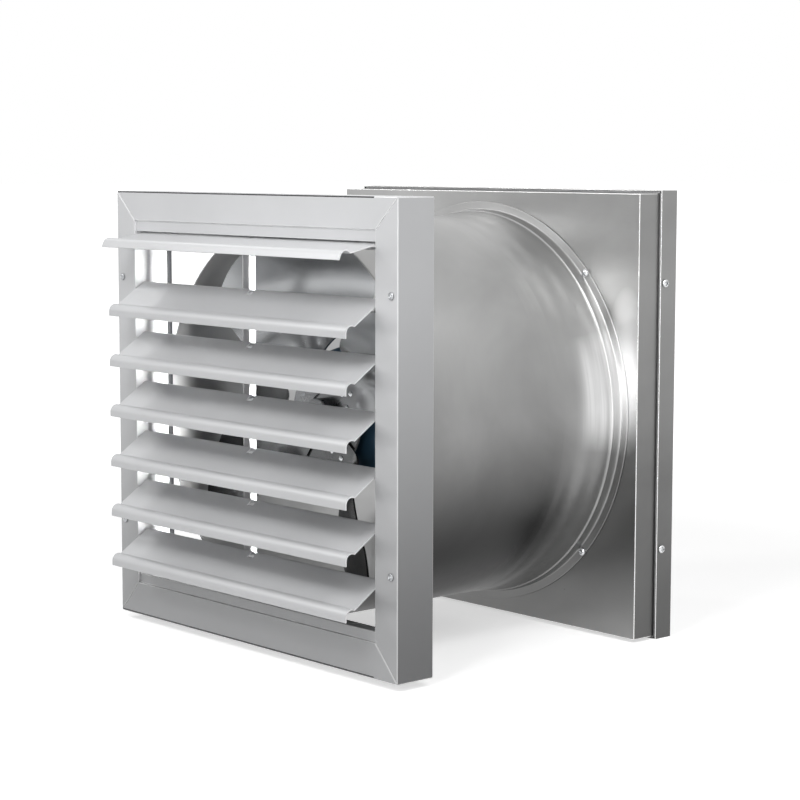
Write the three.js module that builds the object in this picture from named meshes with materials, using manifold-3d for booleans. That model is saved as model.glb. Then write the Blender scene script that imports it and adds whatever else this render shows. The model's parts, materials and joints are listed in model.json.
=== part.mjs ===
// Through-wall exhaust fan: a gravity louvre shutter on the outside, a round
// duct with the fan in it, and a two-tray panel on the room side.
// Units are millimetres. While it is built, the shutter's front face is y = 0,
// +Y runs through the wall into the room, +Z is up and x = z = 0 is the middle
// of the shutter. The finished group stands on z = 0, centred in x and y.

import * as THREE from 'three';
import { mergeVertices } from 'three/addons/utils/BufferGeometryUtils.js';
import Module from 'manifold-3d';

const wasm = await Module();
wasm.setup();

// ---------------------------------------------------------------- dimensions

const FIT = 0.3; // gap left between pieces that touch

// Shutter frame, four mitred sheet rails
const PANEL_WIDTH = 400;
const PANEL_HEIGHT = 402;
const FRAME_DEPTH = 40;
const SIDE_FACE = 28;
const TOP_FACE = 27;
const BOTTOM_FACE = 31;
const RAIL_SHEET = 1.6;
const RAIL_RETURN = 14; // flange turned in behind the outer wall
const TOP_LIP = 10; // stop lips on the top and bottom rails
const BOTTOM_LIP = 9;
const LIP_SETBACK = 2;
const MITRE_GAP = 0.3;
const KEY_LENGTH = 46; // legs of the corner keys inside the rails
const KEY_THICKNESS = 2.5;

// Rivets in the two stiles
const RIVET_INSET = 8; // from the frame's side
const RIVET_SPACING = 232; // from the lower pair to the upper pair
const RIVET_RISE = 4.5; // the pairs' middle, above the frame's
const RIVET_HEAD_RADIUS = 3.2;
const RIVET_HEAD_HEIGHT = 1.7;
const RIVET_SHANK_RADIUS = 1.6;
const RIVET_GRIP = 3.4;

// Louvres
const LOUVRE_COUNT = 7;
const TOP_PIVOT_DROP = 13.8; // first pivot below the top of the opening
const LAST_PIVOT_RISE = 47.8; // last pivot above its bottom
const PIVOT_DEPTH = 10; // pivots behind the front face
const LOUVRE_END_GAP = 1.5;
const LOUVRE_SHEET = 1.2;
const LOUVRE_PLATE = 35.5; // pivot to crease
const NOSE_RADIUS = 6.1;
const NOSE_RISE = 2.7; // crease above the nose's centre
const NOSE_LIP = 4.4;
const NOSE_LIP_ANGLE = 34;
const OPEN_ANGLE = 56; // from hanging straight down
const TOP_OPEN_ANGLE = 78;
const PIVOT_ROD_RADIUS = 2;
const PIVOT_ROD_OVERHANG = 4; // past the stile's inner wall

// Linkage behind the louvres
const LINK_X = -25;
const LEVER_X = -3;
const LEVER_LENGTH = 12;
const LEVER_ANGLE = 31; // above the back of a louvre that hangs straight down
const LEVER_THICKNESS = 3;
const LEVER_WIDTH = 5;
const LINK_PIN_RADIUS = 1.5;
const TIE_BAR_WIDTH = 10;
const TIE_BAR_SHEET = 1.2;
const TIE_BAR_FRONT = 3; // flanges in front of the pins
const TIE_BAR_BACK = 3; // room behind the pins
const TIE_BAR_END = 6; // past the first and last pins
const LEVER_NOTCH = 8;

// Duct
const DUCT_SHEET = 1.2;
const DUCT_DROP = 2; // duct axis below the shutter's middle
const ROUND_STEPS = 72;

// Room-side trays
const PANEL_FACE_Y = 286; // face that lies against the wall
const TRAY_SHEET = 1.2;
const TRAY_GAP = 1.8; // between the side walls of the two trays
const TRAY_OVERLAP = 10; // room tray's walls over the wall tray's
const TRAY_BORDER = 10; // wall tray's face outside the ring
const WALL_TRAY_DEPTH = 36;
const ROOM_TRAY_DEPTH = 21;

// Ring that joins the duct to the wall tray
const RING_COLLAR = 22; // length of the collar along the duct
const RING_COLLAR_WALL = 1.2;
const RING_BEAD_RADIUS = 2.2;
const RING_BEAD_SETBACK = 9.6; // bead's centre in front of the tray
const RING_FLANGE_RADIUS = 193;
const RING_FLANGE_WIDTH = 13; // from the duct to the flange's edge
const RING_FLANGE_THICKNESS = 1.5;

// Screws
const SCREW_HEAD_RADIUS = 3.7;
const SCREW_HEAD_HEIGHT = 2.4;
const SCREW_SHANK_RADIUS = 1.9;
const RING_SCREW_INSET = 3; // from the flange's edge
const RING_SCREW_SEAT = 0.1; // flat rim past the screw heads
const RING_SCREW_ANGLE = 43; // above and below the duct's sides
const RING_SCREW_GRIP = 11;
const SIDE_SCREW_HEIGHT = 122;
const SIDE_SCREW_SETBACK = 6; // behind the room tray's front edge
const SIDE_SCREW_GRIP = 9;

// Angle lugs between the shutter and the duct
const LUG_WIDTH = 34;
const LUG_SHEET = 2;
const LUG_REACH = 26; // along the duct
const LUG_EDGE = 8; // lug's end inside the frame's edge

// Motor
const MOTOR_RADIUS = 62;
const MOTOR_WALL = 5;
const MOTOR_FRONT = 118;
const MOTOR_LENGTH = 92;
const BELL_DEPTH = 13;
const BELL_NOSE_RADIUS = 42;
const SHAFT_RADIUS = 8;
const BEARING_RADIUS = 17.5;
const BEARING_WIDTH = 8;
const STATOR_LENGTH = 64;
const ROTOR_RADIUS = 34;
const AIR_GAP = 0.8;
const BOX_WIDTH = 56;
const BOX_LENGTH = 48;
const BOX_HEIGHT = 24;
const BOX_COVER = 3;
const GLAND_RADIUS = 8;
const GLAND_LENGTH = 16;
const GLAND_BORE = 3.5;

// Motor bracket
const BRACKET_SHEET = 3;
const BRACKET_PLATE_RADIUS = 40;
const ARM_WIDTH = 24;
const ARM_BEND_IN = 46;
const ARM_BEND_INSET = 26.8; // outer bend inside the duct's wall
const ARM_TAB = 10; // arm's end past the ring screws

// Impeller
const HUB_SETOFF = 14.7; // hub plate's front face in front of the motor's bell
const HUB_PLATE = 2.5;
const HUB_PLATE_RADIUS = 48;
const HUB_BOSS_RADIUS = 17;
const HUB_BOSS_FRONT = 12; // boss in front of the plate
const HUB_BOSS_BACK = 10;
const FAN_BLADES = 4;
const FAN_EDGE_ANGLE = -33; // first blade's leading edge, from +X towards +Z
const FAN_EDGE_SWEEP = 17; // how far that edge falls back at the tip
const FAN_BLADE_SHEET = 1.6;
const FAN_ROOT = 22;
const FAN_TIP_CLEARANCE = 4.3;
const FAN_ROOT_WIDTH = 26;
const FAN_TIP_WIDTH = 138;
const FAN_PITCH = 31;
const NUT_RADIUS = 9.8;
const NUT_LENGTH = 9;
const STUB_RADIUS = 5;
const STUB_LENGTH = 14;

// Guard on the room side
const GUARD_RINGS = 7;
const GUARD_INNER_RADIUS = 30;
const GUARD_OUTER_RADIUS = 186;
const GUARD_WIRE = 1.5;
const GUARD_SPOKE_WIRE = 1.8;
const GUARD_SPOKES = 6;
const GUARD_SEAT = 10; // guard's overlap on the room tray round its opening

// ------------------------------------------------------------ derived places

const RAD = Math.PI / 180;
const HALF_WIDTH = PANEL_WIDTH / 2;
const HALF_HEIGHT = PANEL_HEIGHT / 2;
const INNER_X = HALF_WIDTH - SIDE_FACE;
const INNER_TOP = HALF_HEIGHT - TOP_FACE;
const INNER_BOTTOM = BOTTOM_FACE - HALF_HEIGHT;
const LOUVRE_PITCH = (INNER_TOP - TOP_PIVOT_DROP - INNER_BOTTOM - LAST_PIVOT_RISE) / (LOUVRE_COUNT - 1);
const DUCT_RADIUS = RING_FLANGE_RADIUS - RING_FLANGE_WIDTH;
const DUCT_INNER = DUCT_RADIUS - DUCT_SHEET;
const DUCT_FRONT = FRAME_DEPTH + FIT + LUG_SHEET + FIT;
const DUCT_REAR = PANEL_FACE_Y + TRAY_SHEET;
const RING_BORE = DUCT_RADIUS + FIT;
const MOTOR_REAR = MOTOR_FRONT + MOTOR_LENGTH;
const BELL_FRONT = MOTOR_FRONT - FIT - BELL_DEPTH;
const BELL_REAR = MOTOR_REAR + FIT + BELL_DEPTH;
const HUB_Y = BELL_FRONT - HUB_SETOFF;
const CURL_RADIUS = PIVOT_ROD_RADIUS + FIT + LOUVRE_SHEET / 2;
const PIN_HOLE_RADIUS = LINK_PIN_RADIUS + FIT;
const ROD_HOLE_RADIUS = PIVOT_ROD_RADIUS + FIT;
const SCREW_HOLE_RADIUS = SCREW_SHANK_RADIUS + FIT;
const RING_FLAT = RING_SCREW_INSET + SCREW_HEAD_RADIUS + RING_SCREW_SEAT;
const RING_SCREW_RADIUS = RING_FLANGE_RADIUS - RING_SCREW_INSET;
const ARM_BEND_OUT = DUCT_INNER - ARM_BEND_INSET;
const ARM_END = RING_SCREW_RADIUS + ARM_TAB;
const WALL_TRAY_WIDTH = 2 * (RING_FLANGE_RADIUS + TRAY_BORDER);
const ROOM_TRAY_WIDTH = WALL_TRAY_WIDTH + 2 * (TRAY_SHEET + TRAY_GAP);
const ROOM_TRAY_FRONT = PANEL_FACE_Y + WALL_TRAY_DEPTH - TRAY_OVERLAP;
const ROOM_FACE_Y = ROOM_TRAY_FRONT + ROOM_TRAY_DEPTH;
const ROOM_OPENING_RADIUS = GUARD_OUTER_RADIUS - GUARD_SEAT;

const finishes = {
  frame: { color: 0xc8c9cb, roughness: 0.42, metalness: 0.75 },
  louvre: { color: 0xb9bbbe, roughness: 0.5, metalness: 0.55 },
  link: { color: 0xd4d6d8, roughness: 0.35, metalness: 0.85 },
  duct: { color: 0xb4b5b6, roughness: 0.3, metalness: 0.95 },
  tray: { color: 0xaeafb0, roughness: 0.32, metalness: 0.95 },
  screw: { color: 0xc9cbcd, roughness: 0.25, metalness: 0.95 },
  motor: { color: 0x2d5573, roughness: 0.45, metalness: 0.25 },
  core: { color: 0x5c5e61, roughness: 0.6, metalness: 0.8 },
  steel: { color: 0x9fa2a5, roughness: 0.35, metalness: 0.9 },
  blade: { color: 0xb7bfc6, roughness: 0.38, metalness: 0.8 },
  plastic: { color: 0x24262a, roughness: 0.6, metalness: 0 },
  wire: { color: 0xc2c5c8, roughness: 0.22, metalness: 0.95 },
};

// -------------------------------------------------------------- solid making

// Closed solid from a three.js geometry, with its faces turned outwards.
function solidOf(geometry) {
  const bare = geometry.clone();
  for (const name of Object.keys(bare.attributes)) {
    if (name !== 'position') bare.deleteAttribute(name);
  }
  const welded = mergeVertices(bare, 1e-4);
  const corner = welded.attributes.position;
  const at = welded.index.array;
  const triangles = [];
  const [a, b, c] = [new THREE.Vector3(), new THREE.Vector3(), new THREE.Vector3()];
  let volume = 0;
  for (let i = 0; i < at.length; i += 3) {
    const [p, q, r] = [at[i], at[i + 1], at[i + 2]];
    if (p === q || q === r || r === p) continue;
    triangles.push(p, q, r);
    a.fromBufferAttribute(corner, p);
    b.fromBufferAttribute(corner, q);
    c.fromBufferAttribute(corner, r);
    volume += a.dot(b.cross(c));
  }
  if (volume < 0) {
    for (let i = 0; i < triangles.length; i += 3) {
      [triangles[i + 1], triangles[i + 2]] = [triangles[i + 2], triangles[i + 1]];
    }
  }
  return new wasm.Manifold(new wasm.Mesh({
    numProp: 3,
    vertProperties: new Float32Array(corner.array),
    triVerts: new Uint32Array(triangles),
  }));
}

function geometryOf(solid) {
  const mesh = solid.getMesh();
  const geometry = new THREE.BufferGeometry();
  geometry.setAttribute('position', new THREE.BufferAttribute(mesh.vertProperties, 3));
  geometry.setIndex(new THREE.BufferAttribute(mesh.triVerts, 1));
  geometry.computeVertexNormals();
  return geometry;
}

function shapeOf(points, holes = []) {
  const shape = new THREE.Shape(points.map(([u, v]) => new THREE.Vector2(u, v)));
  shape.holes = holes.map((hole) => new THREE.Path(hole.map(([u, v]) => new THREE.Vector2(u, v))));
  return shape;
}

// Extrusion of an outline: its u and v run along the two given axes, and it
// fills from low to high along the third one.
function prism(points, uAxis, vAxis, low, high, holes = []) {
  const geometry = new THREE.ExtrudeGeometry(shapeOf(points, holes), {
    depth: high - low,
    bevelEnabled: false,
  });
  const u = new THREE.Vector3(...uAxis);
  const v = new THREE.Vector3(...vAxis);
  const w = u.clone().cross(v);
  const along = w.x + w.y + w.z;
  const start = w.clone().multiplyScalar(along > 0 ? low : -high);
  geometry.applyMatrix4(new THREE.Matrix4().makeBasis(u, v, w).setPosition(start));
  return solidOf(geometry);
}

const X = [1, 0, 0];
const Y = [0, 1, 0];
const Z = [0, 0, 1];
const plateXZ = (points, y0, y1, holes) => prism(points, X, Z, y0, y1, holes);
const barAlongX = (points, x0, x1) => prism(points, Y, Z, x0, x1);
const barAlongZ = (points, z0, z1) => prism(points, X, Y, z0, z1);

function arc(u, v, radius, from, to, steps) {
  const points = [];
  for (let i = 0; i <= steps; i += 1) {
    const angle = (from + ((to - from) * i) / steps) * RAD;
    points.push([u + radius * Math.cos(angle), v + radius * Math.sin(angle)]);
  }
  return points;
}

const circle = (u, v, radius, steps) => arc(u, v, radius, 0, 360 - 360 / steps, steps - 1);

function box(x0, y0, z0, x1, y1, z1) {
  const geometry = new THREE.BoxGeometry(x1 - x0, y1 - y0, z1 - z0);
  geometry.translate((x0 + x1) / 2, (y0 + y1) / 2, (z0 + z1) / 2);
  return solidOf(geometry);
}

// Solid of revolution about the Y axis. A ring's profile closes on itself.
function turned(profile, steps = ROUND_STEPS, closed = true) {
  const points = profile.map(([r, y]) => new THREE.Vector2(r, y));
  if (closed) points.push(points[0].clone());
  return solidOf(new THREE.LatheGeometry(points, steps));
}

const ring = (inner, outer, y0, y1, steps = ROUND_STEPS) =>
  turned([[inner, y0], [outer, y0], [outer, y1], [inner, y1]], steps);

function rod(radius, from, to, steps) {
  const start = new THREE.Vector3(...from);
  const end = new THREE.Vector3(...to);
  const way = end.clone().sub(start);
  const geometry = new THREE.CylinderGeometry(radius, radius, way.length(), steps);
  const turn = new THREE.Quaternion().setFromUnitVectors(new THREE.Vector3(0, 1, 0), way.normalize());
  geometry.applyQuaternion(turn);
  geometry.translate(...start.add(end).multiplyScalar(0.5).toArray());
  return solidOf(geometry);
}

const joined = (solids) => solids.reduce((sum, solid) => sum.add(solid));
const cut = (solid, tools) => tools.reduce((rest, tool) => rest.subtract(tool), solid);

function aboutY(solid, degrees) {
  const geometry = geometryOf(solid);
  geometry.applyMatrix4(new THREE.Matrix4().makeRotationY(-degrees * RAD));
  return solidOf(geometry);
}

function addPiece(parent, name, solid, finish) {
  const mesh = new THREE.Mesh(geometryOf(solid), new THREE.MeshStandardMaterial(finishes[finish]));
  mesh.name = name;
  parent.add(mesh);
  return mesh;
}

const assembly = new THREE.Group();
const duct = new THREE.Group();
duct.position.z = -DUCT_DROP;
assembly.add(duct);

// ------------------------------------------------------------- shutter frame

// Section of a rail as (distance in from the outer edge, depth).
function railSection(face, lip) {
  const stop = lip > 0
    ? [[face, LIP_SETBACK], [face + lip, LIP_SETBACK],
      [face + lip, LIP_SETBACK + RAIL_SHEET], [face, LIP_SETBACK + RAIL_SHEET]]
    : [];
  return [
    [0, 0], [face, 0], ...stop, [face, FRAME_DEPTH],
    [face - RAIL_SHEET, FRAME_DEPTH], [face - RAIL_SHEET, RAIL_SHEET],
    [RAIL_SHEET, RAIL_SHEET], [RAIL_SHEET, FRAME_DEPTH - RAIL_SHEET],
    [RAIL_RETURN, FRAME_DEPTH - RAIL_SHEET], [RAIL_RETURN, FRAME_DEPTH], [0, FRAME_DEPTH],
  ];
}

const pivotHeights = Array.from({ length: LOUVRE_COUNT },
  (_, i) => INNER_TOP - TOP_PIVOT_DROP - LOUVRE_PITCH * i);

function crossRail(side) {
  const top = side > 0;
  const face = top ? TOP_FACE : BOTTOM_FACE;
  const edge = side * HALF_HEIGHT;
  const inner = edge - side * face;
  const lip = top ? TOP_LIP : BOTTOM_LIP;
  const lipEdge = inner - side * (lip + 1);
  const section = railSection(face, lip).map(([s, y]) => [y, edge - side * s]);
  const gap = MITRE_GAP / 2;
  const outline = [
    [-HALF_WIDTH + gap, edge], [HALF_WIDTH - gap, edge], [INNER_X - gap, inner],
    [INNER_X - MITRE_GAP, lipEdge], [-INNER_X + MITRE_GAP, lipEdge], [-INNER_X + gap, inner],
  ];
  return barAlongX(section, -HALF_WIDTH, HALF_WIDTH)
    .intersect(plateXZ(outline, -1, FRAME_DEPTH + 1));
}

const rivetHeight = (up) => RIVET_RISE + (up * RIVET_SPACING) / 2;

function stile(side) {
  const section = railSection(SIDE_FACE, 0).map(([s, y]) => [side * (HALF_WIDTH - s), y]);
  const gap = MITRE_GAP / 2;
  const outline = [
    [side * HALF_WIDTH, HALF_HEIGHT - gap], [side * HALF_WIDTH, -HALF_HEIGHT + gap],
    [side * INNER_X, INNER_BOTTOM + gap], [side * INNER_X, INNER_TOP - gap],
  ];
  const body = barAlongZ(section, -HALF_HEIGHT, HALF_HEIGHT)
    .intersect(plateXZ(outline, -1, FRAME_DEPTH + 1));
  const wall = [side * (INNER_X - 1), side * (INNER_X + RAIL_SHEET + 1)];
  const pivotHoles = pivotHeights.map((z) =>
    rod(ROD_HOLE_RADIUS, [wall[0], PIVOT_DEPTH, z], [wall[1], PIVOT_DEPTH, z], 12));
  const rivetX = side * (HALF_WIDTH - RIVET_INSET);
  const rivetHoles = [-1, 1].map((up) => rod(RIVET_SHANK_RADIUS + FIT,
    [rivetX, -1, rivetHeight(up)], [rivetX, RAIL_SHEET + 1, rivetHeight(up)], 12));
  return cut(body, [...pivotHoles, ...rivetHoles]);
}

// L-shaped key that holds a mitred corner, inside the hollow of both rails.
function cornerKey(side, up) {
  const slack = RAIL_SHEET + FIT;
  const face = up > 0 ? TOP_FACE : BOTTOM_FACE;
  const x = (s) => side * (HALF_WIDTH - s);
  const z = (s) => up * (HALF_HEIGHT - s);
  const outline = [
    [x(slack), z(slack)], [x(KEY_LENGTH), z(slack)], [x(KEY_LENGTH), z(face - slack)],
    [x(SIDE_FACE - slack), z(face - slack)], [x(SIDE_FACE - slack), z(KEY_LENGTH)],
    [x(slack), z(KEY_LENGTH)],
  ];
  const front = RAIL_SHEET + FIT;
  return plateXZ(outline, front, front + KEY_THICKNESS);
}

function rivet() {
  const dome = arc(0, 0, 1, 0, 90, 4).map(([c, s]) =>
    [RIVET_HEAD_RADIUS * c, -FIT - RIVET_HEAD_HEIGHT * s]);
  return turned([
    [0, RIVET_GRIP], [RIVET_SHANK_RADIUS, RIVET_GRIP], [RIVET_SHANK_RADIUS, -FIT],
    ...dome.slice(0, -1), [0, -FIT - RIVET_HEAD_HEIGHT],
  ], 12, false);
}

addPiece(assembly, 'frame_top_rail', crossRail(1), 'frame');
addPiece(assembly, 'frame_bottom_rail', crossRail(-1), 'frame');
addPiece(assembly, 'frame_left_stile', stile(-1), 'frame');
addPiece(assembly, 'frame_right_stile', stile(1), 'frame');

for (const [height, up] of [['upper', 1], ['lower', -1]]) {
  for (const [hand, side] of [['left', -1], ['right', 1]]) {
    addPiece(assembly, `corner_key_${height}_${hand}`, cornerKey(side, up), 'steel');
    addPiece(assembly, `stile_rivet_${height}_${hand}`, rivet(), 'screw')
      .position.set(side * (HALF_WIDTH - RIVET_INSET), 0, rivetHeight(up));
  }
}

// ------------------------------------------------------------------ louvres

// A louvre hangs straight down from its pivot here: u runs down the blade and
// v out of its front, so a point is at y = -v, z = -u.
function sheetOutline(middle, thickness) {
  const sides = [[], []];
  middle.forEach(([u, v], i) => {
    const [before, after] = [middle[Math.max(i - 1, 0)], middle[Math.min(i + 1, middle.length - 1)]];
    const run = Math.hypot(after[0] - before[0], after[1] - before[1]);
    const [nu, nv] = [-(after[1] - before[1]) / run, (after[0] - before[0]) / run];
    sides[0].push([u + (nu * thickness) / 2, v + (nv * thickness) / 2]);
    sides[1].unshift([u - (nu * thickness) / 2, v - (nv * thickness) / 2]);
  });
  return [...sides[0], ...sides[1]];
}

function louvreBlade() {
  const curl = arc(0, 0, CURL_RADIUS, 320, 90, 9);
  const noseFall = Math.asin(NOSE_RISE / NOSE_RADIUS) / RAD;
  const centreU = LOUVRE_PLATE + NOSE_RADIUS * Math.cos(noseFall * RAD);
  const centreV = CURL_RADIUS - NOSE_RISE;
  const nose = arc(centreU, centreV, NOSE_RADIUS, 180 - noseFall, NOSE_LIP_ANGLE, 9);
  const [endU, endV] = nose[nose.length - 1];
  const lip = [endU + NOSE_LIP * Math.sin(NOSE_LIP_ANGLE * RAD),
    endV - NOSE_LIP * Math.cos(NOSE_LIP_ANGLE * RAD)];
  const outline = sheetOutline([...curl, ...nose, lip], LOUVRE_SHEET);
  const end = INNER_X - LOUVRE_END_GAP;
  const blade = barAlongX(outline.map(([u, v]) => [-v, -u]), -end, end);
  const notch = box(LEVER_X - LEVER_NOTCH / 2, -LEVER_NOTCH, -LEVER_NOTCH + 2,
    LEVER_X + LEVER_NOTCH / 2, LEVER_NOTCH, LEVER_NOTCH);
  return blade.subtract(notch);
}

const lever = [LEVER_LENGTH * Math.cos(LEVER_ANGLE * RAD), LEVER_LENGTH * Math.sin(LEVER_ANGLE * RAD)];

// Pivot rod with its welded lever and the lever's pin.
function pivotRod() {
  const reach = INNER_X + RAIL_SHEET + PIVOT_ROD_OVERHANG;
  const half = LEVER_THICKNESS / 2;
  const side = LEVER_WIDTH / 2;
  const plate = [
    ...arc(0, 0, side + 0.4, 90 + LEVER_ANGLE, 270 + LEVER_ANGLE, 6),
    ...arc(lever[0], lever[1], side, LEVER_ANGLE - 90, LEVER_ANGLE + 90, 6),
  ];
  const pinEnd = LINK_X - TIE_BAR_WIDTH / 2 - 0.6;
  return joined([
    rod(PIVOT_ROD_RADIUS, [-reach, 0, 0], [reach, 0, 0], 12),
    barAlongX(plate, LEVER_X - half, LEVER_X + half),
    rod(LINK_PIN_RADIUS, [pinEnd, ...lever], [LEVER_X, ...lever], 12),
  ]);
}

const bladeSolid = louvreBlade();
const rodSolid = pivotRod();
pivotHeights.forEach((z, i) => {
  const louvre = new THREE.Group();
  louvre.position.set(0, PIVOT_DEPTH, z);
  louvre.rotation.x = -(i === 0 ? TOP_OPEN_ANGLE : OPEN_ANGLE) * RAD;
  assembly.add(louvre);
  addPiece(louvre, `louvre_blade_${i + 1}`, bladeSolid, 'louvre');
  addPiece(louvre, `pivot_rod_${i + 1}`, rodSolid, 'steel');
});

// ------------------------------------------------------------------ tie bar

// U channel, open to the front, on the pins of all the levers. The top louvre
// stands further open than the rest, so its pin has an open notch to move in.
function tieBar() {
  const leverAngle = (LEVER_ANGLE - OPEN_ANGLE) * RAD;
  const pinY = PIVOT_DEPTH + LEVER_LENGTH * Math.cos(leverAngle);
  const pinDrop = LEVER_LENGTH * Math.sin(leverAngle);
  const half = TIE_BAR_WIDTH / 2;
  const inside = half - TIE_BAR_SHEET;
  const front = pinY - TIE_BAR_FRONT;
  const web = pinY + TIE_BAR_BACK;
  const back = web + TIE_BAR_SHEET;
  const section = [
    [-half, front], [-inside, front], [-inside, web], [inside, web],
    [inside, front], [half, front], [half, back], [-half, back],
  ].map(([x, y]) => [LINK_X + x, y]);
  const pinHeights = pivotHeights.map((z) => z + pinDrop);
  const bar = barAlongZ(section, pinHeights[LOUVRE_COUNT - 1] - TIE_BAR_END, pinHeights[0] + TIE_BAR_END);
  const across = half + 1;
  const holes = pinHeights.slice(1).map((z) =>
    rod(PIN_HOLE_RADIUS, [LINK_X - across, pinY, z], [LINK_X + across, pinY, z], 12));
  const travel = LEVER_LENGTH * Math.sin((TOP_OPEN_ANGLE - OPEN_ANGLE) * RAD);
  const notch = box(LINK_X - across, front - 1, pinHeights[0] - travel - PIN_HOLE_RADIUS,
    LINK_X + across, pinY + PIN_HOLE_RADIUS, pinHeights[0] + PIN_HOLE_RADIUS);
  return cut(bar, [...holes, notch]);
}

addPiece(assembly, 'tie_bar', tieBar(), 'link');

// --------------------------------------------------------- duct and its ring

// The four screws round the ring, which also hold the motor bracket's arms.
const ringScrews = [
  ['upper_right', RING_SCREW_ANGLE], ['upper_left', 180 - RING_SCREW_ANGLE],
  ['lower_left', 180 + RING_SCREW_ANGLE], ['lower_right', 360 - RING_SCREW_ANGLE],
].map(([name, angle]) => ({
  name,
  angle,
  x: RING_SCREW_RADIUS * Math.cos(angle * RAD),
  z: RING_SCREW_RADIUS * Math.sin(angle * RAD),
}));

const ringScrewHoles = (y0, y1) => ringScrews.map(({ x, z }) =>
  rod(SCREW_HOLE_RADIUS, [x, y0, z], [x, y1, z], 12));

function flangeRing() {
  const back = PANEL_FACE_Y - FIT;
  const flat = back - RING_FLANGE_THICKNESS;
  const beadY = PANEL_FACE_Y - RING_BEAD_SETBACK;
  const collar = RING_BORE + RING_COLLAR_WALL;
  const bead = arc(0, 0, 1, -60, 45, 3).map(([c, s]) =>
    [collar + RING_BEAD_RADIUS * c, beadY + RING_BEAD_RADIUS * s]);
  const body = turned([
    [RING_BORE, back - RING_COLLAR], [collar, back - RING_COLLAR], ...bead,
    [RING_FLANGE_RADIUS - RING_FLAT, flat], [RING_FLANGE_RADIUS, flat],
    [RING_FLANGE_RADIUS, back], [RING_BORE, back],
  ]);
  return cut(body, ringScrewHoles(flat - 20, back + 5));
}

function screw(grip, steps = 12) {
  const dome = arc(0, 0, 1, 0, 90, 3).map(([c, s]) =>
    [SCREW_HEAD_RADIUS * (0.55 + 0.45 * c), -SCREW_HEAD_HEIGHT * (0.4 + 0.6 * s)]);
  return turned([
    [0, grip], [SCREW_SHANK_RADIUS, grip], [SCREW_SHANK_RADIUS, 0], [SCREW_HEAD_RADIUS, 0],
    ...dome, [0, -SCREW_HEAD_HEIGHT],
  ], steps, false);
}

addPiece(duct, 'duct_tube', ring(DUCT_INNER, DUCT_RADIUS, DUCT_FRONT, DUCT_REAR), 'duct');
addPiece(duct, 'flange_ring', flangeRing(), 'duct');
for (const { name, x, z } of ringScrews) {
  addPiece(duct, `ring_screw_${name}`, screw(RING_SCREW_GRIP), 'screw')
    .position.set(x, PANEL_FACE_Y - FIT - RING_FLANGE_THICKNESS - FIT, z);
}

// ---------------------------------------------------------- room-side trays

const sideScrewY = ROOM_TRAY_FRONT + SIDE_SCREW_SETBACK;
const sideScrewHoles = [-1, 1].flatMap((side) => [-1, 1].map((up) => {
  const z = up * SIDE_SCREW_HEIGHT;
  return rod(SCREW_HOLE_RADIUS, [side * (WALL_TRAY_WIDTH / 2 - 10), sideScrewY, z],
    [side * (ROOM_TRAY_WIDTH / 2 + 5), sideScrewY, z], 16);
}));

function tray(width, y0, y1, openAt, openingRadius) {
  const half = width / 2;
  const inside = half - TRAY_SHEET;
  const hollow = openAt < 0
    ? box(-inside, y0 - 1, -inside, inside, y1 - TRAY_SHEET, inside)
    : box(-inside, y0 + TRAY_SHEET, -inside, inside, y1 + 1, inside);
  const opening = rod(openingRadius, [0, y0 - 5, 0], [0, y1 + 5, 0], ROUND_STEPS);
  return cut(box(-half, y0, -half, half, y1, half), [hollow, opening, ...sideScrewHoles]);
}

const wallTray = cut(
  tray(WALL_TRAY_WIDTH, PANEL_FACE_Y, PANEL_FACE_Y + WALL_TRAY_DEPTH, 1, RING_BORE),
  ringScrewHoles(PANEL_FACE_Y - 5, PANEL_FACE_Y + 5));
addPiece(duct, 'wall_tray', wallTray, 'tray');
addPiece(duct, 'room_tray',
  tray(ROOM_TRAY_WIDTH, ROOM_TRAY_FRONT, ROOM_FACE_Y, -1, ROOM_OPENING_RADIUS), 'tray');

for (const [height, up] of [['upper', 1], ['lower', -1]]) {
  for (const [hand, side] of [['left', -1], ['right', 1]]) {
    const mesh = addPiece(duct, `side_screw_${height}_${hand}`, screw(SIDE_SCREW_GRIP), 'screw');
    mesh.rotation.z = side * 90 * RAD;
    mesh.position.set(side * (ROOM_TRAY_WIDTH / 2 + FIT), sideScrewY, up * SIDE_SCREW_HEIGHT);
  }
}

// -------------------------------------------------- lugs, shutter to duct

// Foot on the duct, and a leg that reaches the shutter frame's rail.
function lug(up) {
  const foot = [up * (DUCT_RADIUS + FIT) - DUCT_DROP, up * (DUCT_RADIUS + FIT + LUG_SHEET) - DUCT_DROP];
  const leg = [...foot, up * (HALF_HEIGHT - LUG_EDGE)];
  const half = LUG_WIDTH / 2;
  const y0 = FRAME_DEPTH + FIT;
  return joined([
    box(-half, y0, Math.min(...leg), half, y0 + LUG_SHEET, Math.max(...leg)),
    box(-half, y0, Math.min(...foot), half, y0 + LUG_REACH, Math.max(...foot)),
  ]);
}

addPiece(assembly, 'duct_lug_upper', lug(1), 'steel');
addPiece(assembly, 'duct_lug_lower', lug(-1), 'steel');

// -------------------------------------------------------------------- motor

const MOTOR_STEPS = 32;

// End bell with its bearing seat, drawn for the front and turned for the rear.
function endBell() {
  const seat = BEARING_RADIUS + FIT;
  const face = MOTOR_FRONT - FIT;
  return turned([
    [SHAFT_RADIUS + 1.5, BELL_FRONT], [BELL_NOSE_RADIUS, BELL_FRONT],
    [MOTOR_RADIUS - 5, BELL_FRONT + 4], [MOTOR_RADIUS, BELL_FRONT + 9], [MOTOR_RADIUS, face],
    [seat, face], [seat, face - BEARING_WIDTH - FIT],
    [SHAFT_RADIUS + 1.5, face - BEARING_WIDTH - FIT],
  ], MOTOR_STEPS);
}

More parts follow.
